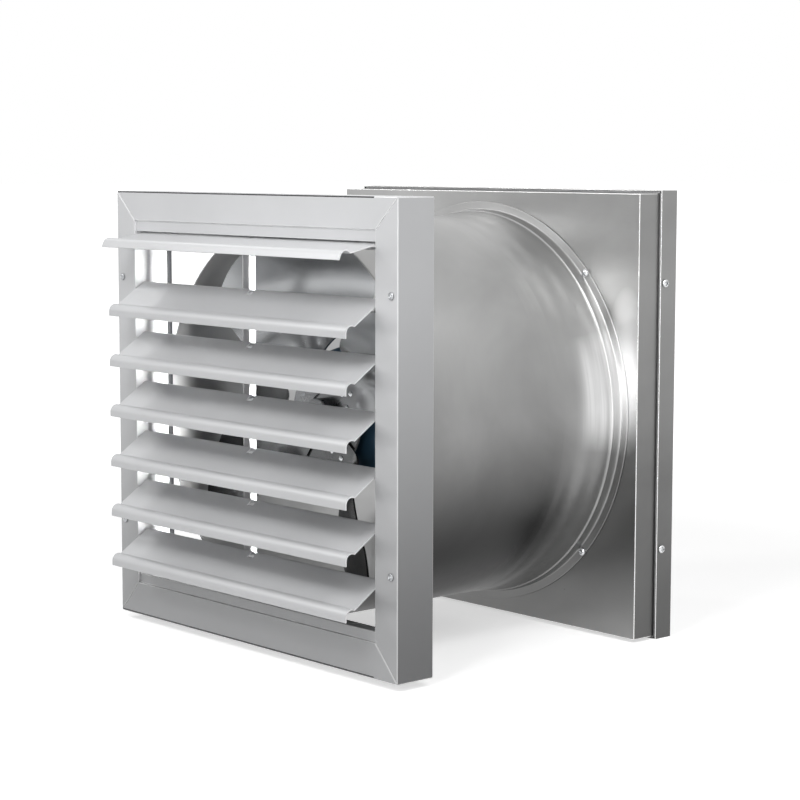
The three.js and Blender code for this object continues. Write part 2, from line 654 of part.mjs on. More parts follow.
function rearCopy(solid) {
  const geometry = geometryOf(solid);
  geometry.translate(0, -(MOTOR_FRONT + MOTOR_REAR) / 2, 0);
  geometry.rotateX(Math.PI);
  geometry.translate(0, (MOTOR_FRONT + MOTOR_REAR) / 2, 0);
  return solidOf(geometry);
}

const statorStart = (MOTOR_FRONT + MOTOR_REAR - STATOR_LENGTH) / 2;
const bearing = ring(SHAFT_RADIUS + FIT, BEARING_RADIUS, MOTOR_FRONT - FIT - BEARING_WIDTH,
  MOTOR_FRONT - FIT, 24);

addPiece(duct, 'motor_body',
  ring(MOTOR_RADIUS - MOTOR_WALL, MOTOR_RADIUS, MOTOR_FRONT, MOTOR_REAR, MOTOR_STEPS), 'motor');
addPiece(duct, 'motor_front_bell', endBell(), 'motor');
addPiece(duct, 'motor_rear_bell', rearCopy(endBell()), 'motor');
addPiece(duct, 'stator_core', ring(ROTOR_RADIUS + AIR_GAP, MOTOR_RADIUS - MOTOR_WALL - FIT,
  statorStart, statorStart + STATOR_LENGTH, MOTOR_STEPS), 'core');
addPiece(duct, 'front_bearing', bearing, 'steel');
addPiece(duct, 'rear_bearing', rearCopy(bearing), 'steel');

// Terminal box on top of the motor, hollow, with its cover and cable gland.
const boxBase = MOTOR_RADIUS + FIT;
const boxTop = boxBase + BOX_HEIGHT;
const boxFront = MOTOR_FRONT + 18;

function terminalBox() {
  const half = BOX_WIDTH / 2;
  const wall = 2.5;
  const body = box(-half, boxFront, MOTOR_RADIUS * 0.8, half, boxFront + BOX_LENGTH, boxTop);
  const hollow = box(-half + wall, boxFront + wall, boxBase + wall, half - wall,
    boxFront + BOX_LENGTH - wall, boxTop + 1);
  const saddle = rod(MOTOR_RADIUS + FIT, [0, boxFront - 5, 0], [0, boxFront + BOX_LENGTH + 5, 0],
    MOTOR_STEPS);
  const entry = rod(GLAND_RADIUS * 0.6 + FIT, [0, boxFront + BOX_LENGTH - 5, boxTop - BOX_HEIGHT / 2],
    [0, boxFront + BOX_LENGTH + 5, boxTop - BOX_HEIGHT / 2], 16);
  return cut(body, [hollow, saddle, entry]);
}

function cableGland() {
  return turned([
    [GLAND_BORE, -5], [GLAND_RADIUS * 0.6, -5], [GLAND_RADIUS * 0.6, FIT], [GLAND_RADIUS, FIT],
    [GLAND_RADIUS, GLAND_LENGTH * 0.5], [GLAND_RADIUS * 0.85, GLAND_LENGTH * 0.6],
    [GLAND_RADIUS * 0.7, GLAND_LENGTH], [GLAND_BORE, GLAND_LENGTH],
  ], 16);
}

addPiece(duct, 'terminal_box', terminalBox(), 'plastic');
addPiece(duct, 'terminal_box_cover', box(-BOX_WIDTH / 2, boxFront, boxTop + FIT, BOX_WIDTH / 2,
  boxFront + BOX_LENGTH, boxTop + FIT + BOX_COVER), 'plastic');
addPiece(duct, 'cable_gland', cableGland(), 'plastic')
  .position.set(0, boxFront + BOX_LENGTH, boxTop - BOX_HEIGHT / 2);

// Bracket: a plate behind the motor with four arms out to the ring's screws.
function motorBracket() {
  const plateY = BELL_REAR + FIT;
  const tabY = DUCT_REAR + FIT;
  const inner = ring(SHAFT_RADIUS + 2, BRACKET_PLATE_RADIUS, plateY, plateY + BRACKET_SHEET,
    MOTOR_STEPS);
  const profile = [
    [SHAFT_RADIUS + 4, plateY], [ARM_BEND_IN, plateY], [ARM_BEND_OUT, tabY], [ARM_END, tabY],
    [ARM_END, tabY + BRACKET_SHEET], [ARM_BEND_OUT - 1, tabY + BRACKET_SHEET],
    [ARM_BEND_IN - 1, plateY + BRACKET_SHEET], [SHAFT_RADIUS + 4, plateY + BRACKET_SHEET],
  ];
  const arm = prism(profile, X, Y, -ARM_WIDTH / 2, ARM_WIDTH / 2);
  const arms = ringScrews.map(({ angle }) => aboutY(arm, angle));
  return cut(joined([inner, ...arms]), ringScrewHoles(tabY - 2, tabY + BRACKET_SHEET + 2));
}

addPiece(duct, 'motor_bracket', motorBracket(), 'steel');

// ----------------------------------------------------------------- impeller

const fanTip = DUCT_INNER - FAN_TIP_CLEARANCE;
const stubStart = HUB_Y - HUB_BOSS_FRONT + 3;

function motorShaft() {
  return turned([
    [0, MOTOR_REAR + FIT + BEARING_WIDTH], [SHAFT_RADIUS, MOTOR_REAR + FIT + BEARING_WIDTH],
    [SHAFT_RADIUS, stubStart], [STUB_RADIUS, stubStart], [STUB_RADIUS, stubStart - STUB_LENGTH],
    [0, stubStart - STUB_LENGTH],
  ], 24, false);
}

function fanHub() {
  const bore = SHAFT_RADIUS + FIT;
  return turned([
    [bore, HUB_Y - HUB_BOSS_FRONT], [HUB_BOSS_RADIUS, HUB_Y - HUB_BOSS_FRONT],
    [HUB_BOSS_RADIUS, HUB_Y], [HUB_PLATE_RADIUS, HUB_Y], [HUB_PLATE_RADIUS, HUB_Y + HUB_PLATE],
    [HUB_BOSS_RADIUS, HUB_Y + HUB_PLATE], [HUB_BOSS_RADIUS, HUB_Y + HUB_BOSS_BACK],
    [bore, HUB_Y + HUB_BOSS_BACK],
  ], 32);
}

// Pressed sheet blade: a flat root on the hub's plate, then twisted to its
// pitch. Rows run out from the hub and columns across from the leading edge.
function fanBlade(number) {
  const [rows, columns] = [10, 6];
  const middleY = HUB_Y - FIT - FAN_BLADE_SHEET / 2;
  const edge = FAN_EDGE_ANGLE + (360 / FAN_BLADES) * number;
  const smooth = (x) => THREE.MathUtils.smoothstep(x, 0, 1);
  const front = [];
  const back = [];
  for (let i = 0; i <= rows; i += 1) {
    for (let j = 0; j <= columns; j += 1) {
      const across = j / columns;
      const corner = 26 * Math.abs(2 * across - 1) ** 4;
      const radius = THREE.MathUtils.lerp(FAN_ROOT, fanTip - corner, i / rows);
      const out = (radius - FAN_ROOT) / (fanTip - FAN_ROOT);
      const width = THREE.MathUtils.lerp(FAN_ROOT_WIDTH, FAN_TIP_WIDTH, smooth(out * 1.3));
      const span = Math.min(width / radius, 2);
      const angle = edge * RAD - FAN_EDGE_SWEEP * RAD * out ** 1.6 - across * span;
      const twist = smooth((radius - HUB_PLATE_RADIUS) / (fanTip * 0.25));
      const lean = (across - 0.5) * width * Math.tan(FAN_PITCH * RAD) * twist;
      const [x, z] = [radius * Math.cos(angle), radius * Math.sin(angle)];
      front.push([x, middleY + lean - FAN_BLADE_SHEET / 2, z]);
      back.push([x, middleY + lean + FAN_BLADE_SHEET / 2, z]);
    }
  }
  const wide = columns + 1;
  const count = front.length;
  const index = [];
  const quad = (a, b, c, d) => index.push(a, b, c, a, c, d);
  for (let i = 0; i < rows; i += 1) {
    for (let j = 0; j < columns; j += 1) {
      const at = i * wide + j;
      quad(at, at + 1, at + wide + 1, at + wide);
      quad(count + at, count + at + wide, count + at + wide + 1, count + at + 1);
    }
    const [left, right] = [i * wide, i * wide + columns];
    quad(left, left + wide, count + left + wide, count + left);
    quad(right, count + right, count + right + wide, right + wide);
  }
  for (let j = 0; j < columns; j += 1) {
    const tip = rows * wide + j;
    quad(j, count + j, count + j + 1, j + 1);
    quad(tip, tip + 1, count + tip + 1, count + tip);
  }
  const geometry = new THREE.BufferGeometry();
  geometry.setAttribute('position', new THREE.Float32BufferAttribute([...front, ...back].flat(), 3));
  geometry.setIndex(index);
  return solidOf(geometry);
}

function hubNut() {
  const back = HUB_Y - HUB_BOSS_FRONT - FIT;
  return cut(rod(NUT_RADIUS, [0, back - NUT_LENGTH, 0], [0, back, 0], 6),
    [rod(STUB_RADIUS + FIT, [0, back - NUT_LENGTH - 1, 0], [0, back + 1, 0], 24)]);
}

addPiece(duct, 'motor_shaft', motorShaft(), 'steel');
addPiece(duct, 'rotor_core', ring(SHAFT_RADIUS + FIT, ROTOR_RADIUS, statorStart,
  statorStart + STATOR_LENGTH, MOTOR_STEPS), 'core');
addPiece(duct, 'fan_hub', fanHub(), 'blade');
for (let i = 0; i < FAN_BLADES; i += 1) addPiece(duct, `fan_blade_${i + 1}`, fanBlade(i), 'blade');
addPiece(duct, 'hub_nut', hubNut(), 'steel');

// -------------------------------------------------------------------- guard

// Rings of wire welded on radial spokes, flat on the room tray's face.
function wireGuard() {
  const spokeY = ROOM_FACE_Y + FIT + GUARD_SPOKE_WIRE;
  const ringY = spokeY + GUARD_SPOKE_WIRE + GUARD_WIRE * 0.7;
  const step = (GUARD_OUTER_RADIUS - GUARD_INNER_RADIUS) / (GUARD_RINGS - 1);
  const rings = Array.from({ length: GUARD_RINGS }, (_, i) =>
    turned(circle(GUARD_INNER_RADIUS + step * i, ringY, GUARD_WIRE, 4), 32));
  const spokes = Array.from({ length: GUARD_SPOKES / 2 }, (_, i) => {
    const angle = (180 * i) / (GUARD_SPOKES / 2) * RAD;
    const [x, z] = [Math.cos(angle) * GUARD_OUTER_RADIUS, Math.sin(angle) * GUARD_OUTER_RADIUS];
    return rod(GUARD_SPOKE_WIRE, [-x, spokeY, -z], [x, spokeY, z], 6);
  });
  return joined([...spokes, ...rings]);
}

addPiece(duct, 'room_guard', wireGuard(), 'wire');

// Stand the fan on z = 0, centred in x and y.
assembly.updateMatrixWorld(true);
const bounds = new THREE.Box3().setFromObject(assembly, true);
assembly.position.set(0, -(bounds.min.y + bounds.max.y) / 2, -bounds.min.z);

export default assembly;
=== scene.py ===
import json
import math

import bmesh
import bpy
from mathutils import Matrix, Vector


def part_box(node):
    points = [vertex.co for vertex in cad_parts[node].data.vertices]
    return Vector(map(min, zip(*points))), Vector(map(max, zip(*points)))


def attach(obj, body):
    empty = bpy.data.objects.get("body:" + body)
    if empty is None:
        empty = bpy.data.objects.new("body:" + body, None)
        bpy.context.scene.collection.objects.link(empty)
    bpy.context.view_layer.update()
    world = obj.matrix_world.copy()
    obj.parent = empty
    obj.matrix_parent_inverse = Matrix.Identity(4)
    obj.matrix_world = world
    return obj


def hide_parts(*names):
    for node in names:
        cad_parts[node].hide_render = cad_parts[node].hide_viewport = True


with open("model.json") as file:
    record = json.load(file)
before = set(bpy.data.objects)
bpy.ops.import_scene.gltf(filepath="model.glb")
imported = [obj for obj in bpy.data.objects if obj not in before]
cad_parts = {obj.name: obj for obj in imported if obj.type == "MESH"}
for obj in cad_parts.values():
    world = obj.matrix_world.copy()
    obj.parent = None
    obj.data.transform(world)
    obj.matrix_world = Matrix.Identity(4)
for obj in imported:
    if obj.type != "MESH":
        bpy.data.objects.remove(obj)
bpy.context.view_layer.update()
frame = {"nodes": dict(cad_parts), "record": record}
nodes = frame["nodes"]
MM = 0.001
FACING = 0.9  # least part of a face's normal along the axis that it is said to look along

# ------------------------------------------------------------------ places
# The shutter's front face is y = FRONT, and the shutter's middle is z = MID.
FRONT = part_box("frame_top_rail")[0].y
MID = (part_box("frame_left_stile")[0].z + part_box("frame_left_stile")[1].z) / 2
AXIS_Z = (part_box("duct_tube")[0].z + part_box("duct_tube")[1].z) / 2
INNER_X = 0.172  # half the width between the stiles
SHADE_TOP = 0.36  # above this the finishes carry no painted shade and keep their full colour
# A painted highlight: the sheet colour at both sides of the ring.
HIGHLIGHT_COLOUR = (0.90, 0.90, 0.90)
HIGHLIGHT_X, HIGHLIGHT_Z = 0.190, AXIS_Z + 0.042  # middle of the painted highlight at each side of the ring
HIGHLIGHT_WIDE, HIGHLIGHT_TALL = 0.028, 0.078
HIGHLIGHT_FROM = (0.080, 0.106)  # depths between which the painted highlight sets in
HIGHLIGHT_TO = (0.138, 0.146)  # depths between which it ends, just behind the wall tray's face
FLARE_FROM = (0.052, 0.104)  # depths between which the duct's strong painted shade turns into the ring's weaker one


def design(x, y, z):
    """A point in millimetres from the middle of the shutter's front face, in metres."""
    return Vector((x * MM, FRONT + y * MM, MID + z * MM))


def around(x, y, z):
    """The same, with z from the duct's axis."""
    return Vector((x * MM, FRONT + y * MM, AXIS_Z + z * MM))


# ------------------------------------------------------------------ materials
class Nodes:
    """Short calls for one material's node tree."""

    def __init__(self, name):
        self.material = bpy.data.materials.new(name)
        self.material.use_nodes = True
        self.tree = self.material.node_tree
        self.shader = self.tree.nodes["Principled BSDF"]

    def add(self, kind, **values):
        """A node and its values. A name that isn't a setting is an input, with _ for a space."""
        node = self.tree.nodes.new(kind)
        for key, value in values.items():
            if hasattr(node, key):
                setattr(node, key, value)
            else:
                node.inputs[key.replace("_", " ")].default_value = value
        return node

    def link(self, source, target):
        self.tree.links.new(source, target)

    def set(self, **values):
        for key, value in values.items():
            self.shader.inputs[key.replace("_", " ")].default_value = value

    def coords(self, scale=(1, 1, 1)):
        """The shared frame's coordinates, stretched."""
        place = self.add("ShaderNodeTexCoord")
        mapping = self.add("ShaderNodeMapping", Scale=scale)
        self.link(place.outputs["Object"], mapping.inputs["Vector"])
        return mapping.outputs["Vector"]

    def along(self, axis):
        """The place along one axis of the shared frame, in metres."""
        split = self.add("ShaderNodeSeparateXYZ")
        self.link(self.add("ShaderNodeTexCoord").outputs["Object"], split.inputs[0])
        return split.outputs[axis]

    def noise(self, vector, scale, detail=4, roughness=0.55, distortion=0.0):
        node = self.add("ShaderNodeTexNoise", Scale=scale, Detail=detail, Roughness=roughness,
                        Distortion=distortion)
        self.link(vector, node.inputs["Vector"])
        return node.outputs["Fac"]

    def ramp(self, fac, stops):
        """A colour ramp through (place, colour or grey) stops."""
        node = self.add("ShaderNodeValToRGB")
        elements = node.color_ramp.elements
        while len(elements) < len(stops):
            elements.new(0.5)
        for element, (at, colour) in zip(elements, stops):
            element.position = at
            if isinstance(colour, (int, float)):
                colour = (colour, colour, colour)
            element.color = (*colour, 1)
        self.link(fac, node.inputs["Fac"])
        return node.outputs["Color"]

    def mix(self, fac, a, b, blend="MIX"):
        """Two colours mixed; a tuple is a plain colour."""
        node = self.add("ShaderNodeMix", data_type="RGBA", blend_type=blend)
        factor, first, second = node.inputs[0], node.inputs[6], node.inputs[7]
        if isinstance(fac, (int, float)):
            factor.default_value = fac
        else:
            self.link(fac, factor)
        for value, socket in ((a, first), (b, second)):
            if isinstance(value, tuple):
                socket.default_value = (*value, 1)
            else:
                self.link(value, socket)
        return node.outputs[2]

    def calculate(self, operation, *values):
        """A Math node on numbers or sockets."""
        node = self.add("ShaderNodeMath", operation=operation)
        for value, socket in zip(values, node.inputs):
            if isinstance(value, (int, float)):
                socket.default_value = value
            else:
                self.link(value, socket)
        return node.outputs[0]

    def map_range(self, value, low, high, to_low=0.0, to_high=1.0, kind="SMOOTHSTEP"):
        """Turns low..high into to_low..to_high, and holds the value beyond them."""
        node = self.add("ShaderNodeMapRange", interpolation_type=kind, From_Min=low, From_Max=high,
                        To_Min=to_low, To_Max=to_high)
        self.link(value, node.inputs["Value"])
        return node.outputs["Result"]

    def floor_shaded(self, colour, shade_foot, start=0.0, full=SHADE_TOP):
        """Painted shade: the colour darkens towards the floor, and foot is what is left of it up to the
        start.
        """
        return self.mix(1.0, colour, self.map_range(self.along("Z"), start, full, shade_foot), "MULTIPLY")

    def behind(self, near, far):
        """0 in front of the depth near, 1 behind the depth far."""
        return self.map_range(self.along("Y"), near, far)

    def painted_highlight(self, colour):
        """Painted highlight: lighter sheet at both sides of the ring, fading out over an oval and to the
        front.
        """
        across = self.calculate("SUBTRACT", self.calculate("ABSOLUTE", self.along("X")), HIGHLIGHT_X)
        height = self.calculate("SUBTRACT", self.along("Z"), HIGHLIGHT_Z)
        squares = [self.calculate("POWER", self.calculate("DIVIDE", away, reach), 2.0)
                   for away, reach in ((across, HIGHLIGHT_WIDE), (height, HIGHLIGHT_TALL))]
        oval = self.map_range(self.calculate("ADD", *squares), 0.0, 1.0, 1.0, 0.0, "LINEAR")
        span = self.calculate("SUBTRACT", self.behind(*HIGHLIGHT_FROM), self.behind(*HIGHLIGHT_TO))
        # uneven patches in the painted highlight
        spun = self.ramp(self.noise(self.coords((0.04, 1, 0.04)), 90, 3, 0.6), [(0.35, 0.5), (0.6, 1.0)])
        amount = self.calculate("MULTIPLY", oval, span)
        return self.mix(self.calculate("MULTIPLY", amount, spun), colour, HIGHLIGHT_COLOUR)

    def bump(self, height, distance, strength):
        node = self.add("ShaderNodeBump", Strength=strength, Distance=distance)
        self.link(height, node.inputs["Height"])
        self.link(node.outputs["Normal"], self.shader.inputs["Normal"])


def darker(colour, part):
    return tuple(c * (1 - part) for c in colour)


def lighter(colour, part):
    return tuple(min(c * (1 + part), 1) for c in colour)


def painted(name, colour, rough, mottle, metal, grain=0.00006, coat=0.15, shade_foot=1.0):
    """Satin enamel or anodised sheet with a little mottle, dust and orange peel, and painted shade towards
    the floor.
    """
    m = Nodes(name)
    vector = m.coords()
    cloud = m.noise(vector, 9, 5, 0.6)
    fine = m.noise(vector, 900, 2, 0.5)
    base = m.ramp(cloud, [(0.3, darker(colour, mottle)), (0.7, lighter(colour, mottle * 0.6))])
    m.link(m.floor_shaded(base, shade_foot), m.shader.inputs["Base Color"])
    m.link(m.ramp(cloud, [(0.25, rough * 0.88), (0.75, rough * 1.12)]), m.shader.inputs["Roughness"])
    m.set(Metallic=metal, Coat_Weight=coat, Coat_Roughness=0.3)
    m.bump(fine, grain, 0.5)
    return m.material


def rolled_steel(name, colour, rough, brushing, clouding, brush=0.03, grain=0.000006, shade_foot=1.0,
                 start=0.0, full=SHADE_TOP, rear_shade_foot=None, with_highlight=False):
    """Satin rolled stainless: fine brushing along one way, and soft clouds over it, with painted shade
    towards the floor and, where asked, a painted highlight at the ring.
    """
    m = Nodes(name)
    streaks = m.noise(m.coords(brushing), 60, 6, 0.65)
    cloud = m.noise(m.coords(), 5.5, 4, 0.55, 0.6)
    clouds = m.ramp(cloud, [(0.3, darker(colour, clouding)), (0.7, lighter(colour, clouding))])
    lines = m.ramp(streaks, [(0.3, 1 - brush), (0.7, 1.0)])
    sheet = m.mix(1.0, clouds, lines, "MULTIPLY")
    base = m.floor_shaded(sheet, shade_foot, start, full)
    # the flare and ring behind FLARE_FROM take a weaker painted shade
    if rear_shade_foot:
        base = m.mix(m.behind(*FLARE_FROM), base, m.floor_shaded(sheet, rear_shade_foot))
    # a painted highlight at both sides of the ring
    if with_highlight:
        base = m.painted_highlight(base)
    m.link(base, m.shader.inputs["Base Color"])
    rough_cloud = m.ramp(cloud, [(0.3, rough * 1.15), (0.7, rough * 0.85)])
    rough_lines = m.ramp(streaks, [(0.3, 0.9), (0.7, 1.1)])
    m.link(m.mix(1.0, rough_cloud, rough_lines, "MULTIPLY"), m.shader.inputs["Roughness"])
    m.set(Metallic=1.0)
    m.bump(streaks, grain, 0.6)
    return m.material


def plain_metal(name, colour, rough, metal=1.0):
    """Plated or machined metal with a fine tooth."""
    m = Nodes(name)
    vector = m.coords()
    cloud = m.noise(vector, 60, 4)
    m.link(m.ramp(cloud, [(0.3, darker(colour, 0.12)), (0.7, colour)]), m.shader.inputs["Base Color"])
    m.link(m.ramp(cloud, [(0.3, rough * 1.2), (0.7, rough * 0.85)]), m.shader.inputs["Roughness"])
    m.set(Metallic=metal)
    m.bump(m.noise(vector, 400, 3), 0.00002, 0.5)
    return m.material


def moulded(name, colour, rough):
    """Moulded plastic with a fine spark texture."""
    m = Nodes(name)
    vector = m.coords()
    shades = m.ramp(m.noise(vector, 40, 3), [(0.3, darker(colour, 0.2)), (0.7, colour)])
    m.link(shades, m.shader.inputs["Base Color"])
    dull = m.ramp(m.noise(vector, 120, 2), [(0.3, rough * 0.9), (0.7, rough * 1.1)])
    m.link(dull, m.shader.inputs["Roughness"])
    m.bump(m.noise(vector, 1400, 2), 0.00008, 0.6)
    return m.material


def laminations(name):
    """Stacked core plates, one every half millimetre along the shaft."""
    m = Nodes(name)
    wave = m.add("ShaderNodeTexWave", bands_direction="Y", Scale=320)
    m.link(m.coords(), wave.inputs["Vector"])
    plates = m.ramp(wave.outputs["Fac"], [(0.2, (0.05, 0.05, 0.055)), (0.8, (0.17, 0.17, 0.18))])
    m.link(plates, m.shader.inputs["Base Color"])
    m.set(Metallic=0.8, Roughness=0.5)
    m.bump(wave.outputs["Fac"], 0.00012, 0.7)
    return m.material


ROUND_DUCT, LEVEL, EVEN = (1, 14, 1), (1, 1, 12), (1, 1, 1)  # ways that the brushing runs

# Colour and roughness come first. A foot below 1 paints shade onto the finish towards the floor.
MATS = {
    "frame": painted("frame_enamel", (0.60, 0.605, 0.615), 0.38, mottle=0.04, metal=0.25, shade_foot=0.62),
    # the stiles' outer sides: a darker copy of the frame enamel, painted shade
    "frame_side_shade": painted("frame_side_shade_enamel", (0.54, 0.545, 0.555), 0.38, mottle=0.04, metal=0.25,
                          shade_foot=0.3),
    # a lighter copy of the frame enamel for its rounded edges: painted highlight
    "frame_edge_highlight": painted("frame_edge_highlight_enamel", (0.78, 0.785, 0.79), 0.36, mottle=0.03, metal=0.25,
                          shade_foot=0.75),
    "louvre": painted("louvre_enamel", (0.58, 0.585, 0.595), 0.42, mottle=0.04, metal=0.15),
    "link": plain_metal("link_aluminium", (0.78, 0.78, 0.79), 0.4, metal=0.25),
    # bare aluminium for the stiles' inner walls and the louvres' sawn ends; on the inner walls its light
    # colour is partly painted light
    "inner": plain_metal("mill_aluminium_and_painted_light", (0.93, 0.93, 0.94), 0.42, metal=0.3),
    "duct": rolled_steel("duct_stainless", (0.38, 0.38, 0.378), 0.33, ROUND_DUCT, clouding=0.18, shade_foot=0.06,
                         start=0.08, full=0.30, rear_shade_foot=0.66, with_highlight=True),
    # the duct's inside: a lighter copy of its steel, painted light
    "duct_inside_lit": rolled_steel("duct_inside_lit_stainless", (0.62, 0.62, 0.618), 0.4, ROUND_DUCT,
                                clouding=0.12),
    "tray": rolled_steel("tray_stainless", (0.37, 0.37, 0.368), 0.33, LEVEL, clouding=0.14, shade_foot=0.68,
                         with_highlight=True),
    # the trays' sides and tops: a darker copy of the tray steel, painted shade
    "tray_side_shade": rolled_steel("tray_side_shade_stainless", (0.26, 0.26, 0.258), 0.36, LEVEL, clouding=0.14,
                              shade_foot=0.45),
    # lighter metal for the trays' rounded folds: painted highlight
    "fold_highlight": plain_metal("tray_fold_highlight", (0.84, 0.84, 0.835), 0.26),
    "screw": plain_metal("screw_plated", (0.72, 0.73, 0.74), 0.22),
    "rivet": plain_metal("rivet_aluminium", (0.36, 0.37, 0.38), 0.3),
    "motor": painted("motor_enamel", (0.050, 0.125, 0.205), 0.34, mottle=0.12, metal=0.0, grain=0.00012,
                     coat=0.3),
    "core": laminations("core_plates"),
    "steel": plain_metal("machined_steel", (0.68, 0.69, 0.70), 0.32),
    "blade": rolled_steel("impeller_aluminium", (0.50, 0.51, 0.52), 0.24, EVEN, clouding=0.1, brush=0.02,
                          grain=0.000004, shade_foot=0.12, start=0.12),
    "seal": moulded("grey_seal", (0.34, 0.34, 0.345), 0.6),
    "plastic": moulded("black_plastic", (0.022, 0.023, 0.026), 0.45),
    "wire": plain_metal("wire_zinc", (0.66, 0.67, 0.68), 0.25),
}
slot_of = {row["node"]: row["material_slot"] for row in frame["record"]["subparts"]}

# ------------------------------------------------------------------ CAD nodes
BEVELS = {"frame": 0.7, "tray": 1.0, "louvre": 0.25, "link": 0.25, "steel": 0.3, "motor": 1.2,
          "plastic": 1.0, "blade": 0.25}  # width of the rounded edges, in millimetres
EDGE_HIGHLIGHTS = {"tray": "fold_highlight", "frame": "frame_edge_highlight"}  # finishes with a painted highlight, a brighter colour, along their rounded edges
WELD_WITHIN = 0.00001
FLAT_WITHIN = math.radians(0.5)  # faces that differ by less are one flat side
ROUNDED_FROM = math.radians(38)  # edges that turn by more are rounded


def dress(obj, slot):
    """Material, welded corners and a small rounded edge on a CAD node; for some, the edge carries a
    painted highlight.
    """
    materials = obj.data.materials
    materials.clear()
    materials.append(MATS[slot])
    for face in obj.data.polygons:
        face.use_smooth = True
        face.material_index = 0
    obj.modifiers.new("weld", "WELD").merge_threshold = WELD_WITHIN
    if slot == "frame":
        flat = obj.modifiers.new("flat", "DECIMATE")  # one face for each flat side
        flat.decimate_type = "DISSOLVE"
        flat.angle_limit = FLAT_WITHIN
        flat.delimit = {"MATERIAL", "SHARP"}
    if slot in BEVELS:
        edge = obj.modifiers.new("edge", "BEVEL")
        edge.width = BEVELS[slot] * MM
        edge.segments = 2
        edge.limit_method = "ANGLE"
        edge.angle_limit = ROUNDED_FROM
        edge.use_clamp_overlap = slot != "frame"  # its flat sides have short edges that would thin it
        if slot in EDGE_HIGHLIGHTS:
            materials.append(MATS[EDGE_HIGHLIGHTS[slot]])
            edge.material = 1
        obj.modifiers.new("normals", "WEIGHTED_NORMAL").keep_sharp = True


def refinish(mesh, slot, chosen):
    """Another finish for the faces that a test picks."""
    mesh.materials.append(MATS[slot])
    for face in mesh.polygons:
        if chosen(face):
            face.material_index = len(mesh.materials) - 1


def on_side(face, x):
    """Whether a face looks sideways and lies x metres from the middle."""
    return abs(face.normal.x) > FACING and abs(abs(face.center.x) - x) < 0.5 * MM


for name in nodes:
    dress(nodes[name], slot_of[name])

# The stiles' walls towards the louvres are bare mill aluminium, whose light colour is partly painted
# light, and their outer sides are a darker copy of the enamel: painted shade.
for hand in ("left", "right"):
    stile = nodes[f"frame_{hand}_stile"].data
    outer_x = max(abs(vert.co.x) for vert in stile.vertices)
    refinish(stile, "inner", lambda face: on_side(face, INNER_X))
    refinish(stile, "frame_side_shade", lambda face: on_side(face, outer_x))

# The louvres' sawn ends are bare.
for name in nodes:
    if slot_of[name] == "louvre":
        refinish(nodes[name].data, "inner", lambda face: abs(face.normal.x) > FACING)

# The trays' sides and tops are a darker copy of their faces' steel: painted shade.
for name in ("wall_tray", "room_tray"):
    refinish(nodes[name].data, "tray_side_shade",
             lambda face: max(abs(face.normal.x), abs(face.normal.z)) > FACING)

# ------------------------------------------------------------------ mesh tools


def piece(name, bm, slot, body, *stands_for, sharp=35):
    """A mesh object that rides on a body and stands for the CAD nodes named.

    Edges that turn by more than sharp degrees stay crisp.
    """
    bmesh.ops.remove_doubles(bm, verts=bm.verts, dist=1e-7)
    bmesh.ops.recalc_face_normals(bm, faces=bm.faces)
    for edge in bm.edges:
        if len(edge.link_faces) == 2:
            edge.smooth = edge.calc_face_angle(0) < math.radians(sharp)
    mesh = bpy.data.meshes.new(name)
    bm.to_mesh(mesh)
    bm.free()
    for face in mesh.polygons:
        face.use_smooth = True
    mesh.materials.append(MATS[slot])
    obj = bpy.data.objects.new(name, mesh)
    bpy.context.scene.collection.objects.link(obj)
    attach(obj, body)
    if stands_for:
        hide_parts(*stands_for)
    return obj


def lathe(bm, profile, steps, centre):
    """Turns a closed line of (radius, depth) points in millimetres about a line along Y."""
    rings = []
    for i in range(steps):
        angle = 2 * math.pi * i / steps
        c, s = math.cos(angle) * MM, math.sin(angle) * MM
        rings.append([bm.verts.new(centre + Vector((r * c, y * MM, r * s))) for r, y in profile])
    for i in range(steps):
        a, b = rings[i], rings[(i + 1) % steps]
        for j in range(len(profile)):
            k = (j + 1) % len(profile)
            bm.faces.new((a[j], a[k], b[k], b[j]))


def arc(u, v, radius, start, end, steps):
    """Points of an arc between two angles in degrees, both ends included."""
    angles = [math.radians(start + (end - start) * i / steps) for i in range(steps + 1)]
    return [(u + radius * math.cos(angle), v + radius * math.sin(angle)) for angle in angles]


def smoothstep(x):
    x = min(max(x, 0.0), 1.0)
    return x * x * (3 - 2 * x)


BAR_ROUND = 0.3  # rounding of a bar's edges, as a part of its thinnest side


def bar(bm, low, high):
    """A bar with rounded edges between two corners, in metres, in any order."""
    corners = [sorted(pair) for pair in zip(low, high)]
    low, high = (Vector([pair[end] for pair in corners]) for end in (0, 1))
    made = bmesh.ops.create_cube(bm, size=1.0)["verts"]
    middle, size = (low + high) / 2, high - low
    for vert in made:
        vert.co = vert.co * size + middle
    edges = list({edge for vert in made for edge in vert.link_edges})
    bmesh.ops.bevel(bm, geom=edges, offset=min(size) * BAR_ROUND, segments=3, profile=0.5, affect="EDGES")


def circle(bm, matrix, radius, steps, rise):
    """A ring of points about a matrix's Z, in millimetres. rise(x, y) gives each one's height."""
    made = []
    for j in range(steps):
        angle = 2 * math.pi * j / steps
        x, y = radius * math.cos(angle), radius * math.sin(angle)
        made.append(bm.verts.new(matrix @ (Vector((x, y, rise(x, y))) * MM)))
    return made


def bridge(bm, a, b):
    """A band of faces between two rings of as many points."""
    for j in range(len(a)):
        k = (j + 1) % len(a)
        bm.faces.new((a[j], b[j], b[k], a[k]))


